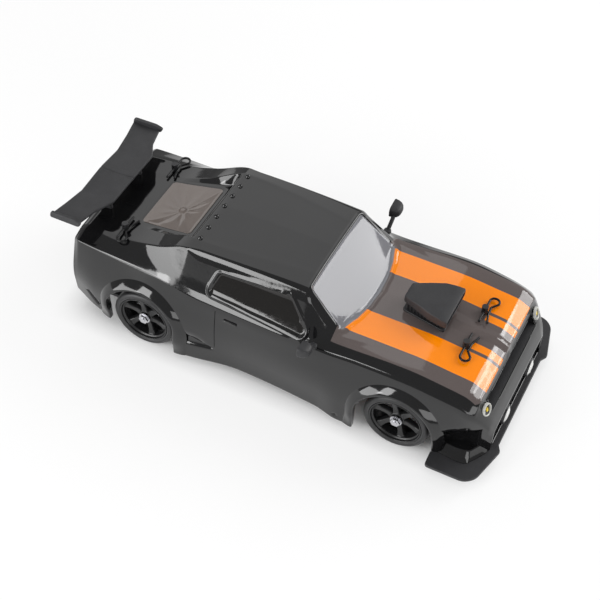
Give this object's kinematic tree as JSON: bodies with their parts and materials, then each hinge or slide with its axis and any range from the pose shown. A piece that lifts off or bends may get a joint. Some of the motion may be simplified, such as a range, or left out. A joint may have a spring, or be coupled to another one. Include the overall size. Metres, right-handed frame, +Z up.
{
  "type": "remote control drift car",
  "caption": "Remote control drift car: gloss black coupe shell with orange bonnet stripes, wing, splitter and scoop on a rear-drive chassis with steering and suspension.",
  "frame": {"origin": "on the ground under the middle of the overall length, on the centre plane", "axes": "+X forward, +Y to the driver's left, +Z up"},
  "size_m": [0.304, 0.144, 0.087],
  "materials": {
    "gloss_shell": "gloss black moulded shell with orange stripes",
    "matte_trim": "fine matte grain",
    "moulded_plastic": "satin moulded",
    "rim_plastic": "gloss black",
    "tyre": "smooth hard tyre",
    "steel": "zinc plated",
    "dark_steel": "blackened",
    "spring_red": "gloss red",
    "brass": "turned",
    "nylon": "white nylon",
    "servo_plastic": "fine matte",
    "battery_wrap": "heat-shrink wrap",
    "lamp_white": "white lens"
  },
  "bodies": {
    "chassis": {"body_shell": "gloss_shell", "front_splitter": "matte_trim", "rear_wing": "matte_trim", "hood_scoop": "matte_trim", "door_mirrors": "matte_trim", "lamp_units": "lamp_white", "body_posts": "moulded_plastic", "chassis_tub": "moulded_plastic", "front_bulkhead": "moulded_plastic", "gearbox_case": "moulded_plastic", "motor_can": "steel", "steering_servo": "servo_plastic", "battery_pack": "battery_wrap", "speed_controller": "servo_plastic", "hinge_pins": "steel", "chassis_screws": "steel", "front_left_spring": "spring_red", "front_right_spring": "spring_red", "rear_left_spring": "spring_red", "rear_right_spring": "spring_red"},
    "servo_horn": {"servo_horn": "nylon"},
    "steering_link": {"steering_link": "moulded_plastic"},
    "drive_spool": {"drive_spool": "dark_steel"},
    "lay_gear": {"lay_gear": "nylon"},
    "motor_pinion": {"motor_pinion": "brass"},
    "power_switch": {"power_switch": "nylon"},
    "front_left_lower_arm": {"front_left_lower_arm": "moulded_plastic"},
    "front_left_upper_link": {"front_left_upper_link": "moulded_plastic"},
    "front_left_hub_carrier": {"front_left_hub_carrier": "moulded_plastic"},
    "front_left_wheel": {"front_left_rim": "rim_plastic", "front_left_tyre": "tyre", "front_left_axle": "steel"},
    "front_left_clip": {"front_left_clip": "steel"},
    "front_left_knuckle": {"front_left_knuckle": "moulded_plastic"},
    "front_left_tie_rod": {"front_left_tie_rod": "moulded_plastic"},
    "front_right_lower_arm": {"front_right_lower_arm": "moulded_plastic"},
    "front_right_upper_link": {"front_right_upper_link": "moulded_plastic"},
    "front_right_hub_carrier": {"front_right_hub_carrier": "moulded_plastic"},
    "front_right_wheel": {"front_right_rim": "rim_plastic", "front_right_tyre": "tyre", "front_right_axle": "steel"},
    "front_right_clip": {"front_right_clip": "steel"},
    "front_right_knuckle": {"front_right_knuckle": "moulded_plastic"},
    "front_right_tie_rod": {"front_right_tie_rod": "moulded_plastic"},
    "rear_left_lower_arm": {"rear_left_lower_arm": "moulded_plastic"},
    "rear_left_upper_link": {"rear_left_upper_link": "moulded_plastic"},
    "rear_left_hub_carrier": {"rear_left_hub_carrier": "moulded_plastic"},
    "rear_left_wheel": {"rear_left_rim": "rim_plastic", "rear_left_tyre": "tyre", "rear_left_axle": "steel"},
    "rear_left_clip": {"rear_left_clip": "steel"},
    "rear_left_dogbone": {"rear_left_dogbone": "dark_steel"},
    "rear_right_lower_arm": {"rear_right_lower_arm": "moulded_plastic"},
    "rear_right_upper_link": {"rear_right_upper_link": "moulded_plastic"},
    "rear_right_hub_carrier": {"rear_right_hub_carrier": "moulded_plastic"},
    "rear_right_wheel": {"rear_right_rim": "rim_plastic", "rear_right_tyre": "tyre", "rear_right_axle": "steel"},
    "rear_right_clip": {"rear_right_clip": "steel"},
    "rear_right_dogbone": {"rear_right_dogbone": "dark_steel"}
  },
  "joints": [
    {"name": "steering", "type": "hinge", "parent": "chassis", "child": "servo_horn", "pos_m": [0.065, 0, 0.0206], "axis": [0, 0, 1], "range_deg": [-25, 25]},
    {"name": "steering_link_pin", "type": "hinge", "parent": "servo_horn", "child": "steering_link", "pos_m": [0.056, 0, 0.0235], "axis": [0, 0, 1], "range_deg": [-25, 25]},
    {"name": "drive", "type": "hinge", "parent": "chassis", "child": "drive_spool", "pos_m": [-0.085, 0, 0.02125], "axis": [0, 1, 0], "continuous": true},
    {"name": "lay_gear_spin", "type": "hinge", "parent": "chassis", "child": "lay_gear", "pos_m": [-0.0688, 0, 0.02125], "axis": [0, 1, 0], "continuous": true},
    {"name": "motor_spin", "type": "hinge", "parent": "chassis", "child": "motor_pinion", "pos_m": [-0.05505, 0, 0.02125], "axis": [0, 1, 0], "continuous": true},
    {"name": "front_left_suspension", "type": "hinge", "parent": "chassis", "child": "front_left_lower_arm", "pos_m": [0.089, 0.012, 0.011], "axis": [1, 0, 0], "range_deg": [-8, 8], "stiffness_Nm_per_rad": 0.36, "springref_deg": -3.09, "deforming": ["front_left_spring"]},
    {"name": "front_left_upper_link_pin", "type": "hinge", "parent": "chassis", "child": "front_left_upper_link", "pos_m": [0.089, 0.012, 0.032], "axis": [1, 0, 0], "range_deg": [-8, 8]},
    {"name": "front_left_carrier_pin", "type": "hinge", "parent": "front_left_lower_arm", "child": "front_left_hub_carrier", "pos_m": [0.089, 0.03, 0.011], "axis": [1, 0, 0], "range_deg": [-8, 8]},
    {"name": "front_left_kingpin", "type": "hinge", "parent": "front_left_hub_carrier", "child": "front_left_knuckle", "pos_m": [0.089, 0.037, 0.02125], "axis": [0, 0, 1], "range_deg": [-25, 25]},
    {"name": "front_left_tie_rod_ball", "type": "hinge", "parent": "steering_link", "child": "front_left_tie_rod", "pos_m": [0.08, 0.019, 0.0281], "axis": [1, 0, 0], "range_deg": [-8, 8]},
    {"name": "front_left_wheel_spin", "type": "hinge", "parent": "front_left_knuckle", "child": "front_left_wheel", "pos_m": [0.089, 0.05, 0.02125], "axis": [0, 1, 0], "continuous": true},
    {"name": "front_left_clip_pull", "type": "slide", "parent": "chassis", "child": "front_left_clip", "axis": [0, 1, 0], "range_m": [0, 0.022]},
    {"name": "front_right_suspension", "type": "hinge", "parent": "chassis", "child": "front_right_lower_arm", "pos_m": [0.089, -0.012, 0.011], "axis": [-1, 0, 0], "range_deg": [-8, 8], "stiffness_Nm_per_rad": 0.36, "springref_deg": -3.09, "deforming": ["front_right_spring"]},
    {"name": "front_right_upper_link_pin", "type": "hinge", "parent": "chassis", "child": "front_right_upper_link", "pos_m": [0.089, -0.012, 0.032], "axis": [-1, 0, 0], "range_deg": [-8, 8]},
    {"name": "front_right_carrier_pin", "type": "hinge", "parent": "front_right_lower_arm", "child": "front_right_hub_carrier", "pos_m": [0.089, -0.03, 0.011], "axis": [-1, 0, 0], "range_deg": [-8, 8]},
    {"name": "front_right_kingpin", "type": "hinge", "parent": "front_right_hub_carrier", "child": "front_right_knuckle", "pos_m": [0.089, -0.037, 0.02125], "axis": [0, 0, 1], "range_deg": [-25, 25]},
    {"name": "front_right_tie_rod_ball", "type": "hinge", "parent": "steering_link", "child": "front_right_tie_rod", "pos_m": [0.08, -0.019, 0.0281], "axis": [-1, 0, 0], "range_deg": [-8, 8]},
    {"name": "front_right_wheel_spin", "type": "hinge", "parent": "front_right_knuckle", "child": "front_right_wheel", "pos_m": [0.089, -0.05, 0.02125], "axis": [0, 1, 0], "continuous": true},
    {"name": "front_right_clip_pull", "type": "slide", "parent": "chassis", "child": "front_right_clip", "axis": [0, -1, 0], "range_m": [0, 0.022]},
    {"name": "rear_left_suspension", "type": "hinge", "parent": "chassis", "child": "rear_left_lower_arm", "pos_m": [-0.085, 0.012, 0.011], "axis": [1, 0, 0], "range_deg": [-8, 8], "stiffness_Nm_per_rad": 0.36, "springref_deg": -3.09, "deforming": ["rear_left_spring"]},
    {"name": "rear_left_upper_link_pin", "type": "hinge", "parent": "chassis", "child": "rear_left_upper_link", "pos_m": [-0.085, 0.012, 0.032], "axis": [1, 0, 0], "range_deg": [-8, 8]},
    {"name": "rear_left_carrier_pin", "type": "hinge", "parent": "rear_left_lower_arm", "child": "rear_left_hub_carrier", "pos_m": [-0.085, 0.03, 0.011], "axis": [1, 0, 0], "range_deg": [-8, 8]},
    {"name": "rear_left_wheel_spin", "type": "hinge", "parent": "rear_left_hub_carrier", "child": "rear_left_wheel", "pos_m": [-0.085, 0.05, 0.02125], "axis": [0, 1, 0], "continuous": true},
    {"name": "rear_left_dogbone_spin", "type": "hinge", "parent": "rear_left_lower_arm", "child": "rear_left_dogbone", "pos_m": [-0.085, 0.02, 0.02125], "axis": [0, 1, 0], "continuous": true},
    {"name": "rear_left_clip_pull", "type": "slide", "parent": "chassis", "child": "rear_left_clip", "axis": [0, 1, 0], "range_m": [0, 0.022]},
    {"name": "rear_right_suspension", "type": "hinge", "parent": "chassis", "child": "rear_right_lower_arm", "pos_m": [-0.085, -0.012, 0.011], "axis": [-1, 0, 0], "range_deg": [-8, 8], "stiffness_Nm_per_rad": 0.36, "springref_deg": -3.09, "deforming": ["rear_right_spring"]},
    {"name": "rear_right_upper_link_pin", "type": "hinge", "parent": "chassis", "child": "rear_right_upper_link", "pos_m": [-0.085, -0.012, 0.032], "axis": [-1, 0, 0], "range_deg": [-8, 8]},
    {"name": "rear_right_carrier_pin", "type": "hinge", "parent": "rear_right_lower_arm", "child": "rear_right_hub_carrier", "pos_m": [-0.085, -0.03, 0.011], "axis": [-1, 0, 0], "range_deg": [-8, 8]},
    {"name": "rear_right_wheel_spin", "type": "hinge", "parent": "rear_right_hub_carrier", "child": "rear_right_wheel", "pos_m": [-0.085, -0.05, 0.02125], "axis": [0, 1, 0], "continuous": true},
    {"name": "rear_right_dogbone_spin", "type": "hinge", "parent": "rear_right_lower_arm", "child": "rear_right_dogbone", "pos_m": [-0.085, -0.02, 0.02125], "axis": [0, 1, 0], "continuous": true},
    {"name": "rear_right_clip_pull", "type": "slide", "parent": "chassis", "child": "rear_right_clip", "axis": [0, -1, 0], "range_m": [0, 0.022]},
    {"name": "power_switch_slide", "type": "slide", "parent": "chassis", "child": "power_switch", "axis": [1, 0, 0], "range_m": [0, 0.003]}
  ],
  "couplings": [
    {"joint": "steering_link_pin", "follows": "steering", "ratio": -1},
    {"joint": "lay_gear_spin", "follows": "drive", "ratio": -2.375},
    {"joint": "motor_spin", "follows": "drive", "ratio": 7.6731},
    {"joint": "front_left_upper_link_pin", "follows": "front_left_suspension", "ratio": 1},
    {"joint": "front_left_carrier_pin", "follows": "front_left_suspension", "ratio": -1},
    {"joint": "front_left_kingpin", "follows": "steering", "ratio": 1},
    {"joint": "front_left_tie_rod_ball", "follows": "front_left_suspension", "ratio": 1},
    {"joint": "front_right_upper_link_pin", "follows": "front_right_suspension", "ratio": 1},
    {"joint": "front_right_carrier_pin", "follows": "front_right_suspension", "ratio": -1},
    {"joint": "front_right_kingpin", "follows": "steering", "ratio": 1},
    {"joint": "front_right_tie_rod_ball", "follows": "front_right_suspension", "ratio": 1},
    {"joint": "rear_left_upper_link_pin", "follows": "rear_left_suspension", "ratio": 1},
    {"joint": "rear_left_carrier_pin", "follows": "rear_left_suspension", "ratio": -1},
    {"joint": "rear_left_wheel_spin", "follows": "drive", "ratio": 1},
    {"joint": "rear_left_dogbone_spin", "follows": "drive", "ratio": 1},
    {"joint": "rear_right_upper_link_pin", "follows": "rear_right_suspension", "ratio": 1},
    {"joint": "rear_right_carrier_pin", "follows": "rear_right_suspension", "ratio": -1},
    {"joint": "rear_right_wheel_spin", "follows": "drive", "ratio": 1},
    {"joint": "rear_right_dogbone_spin", "follows": "drive", "ratio": 1}
  ]
}
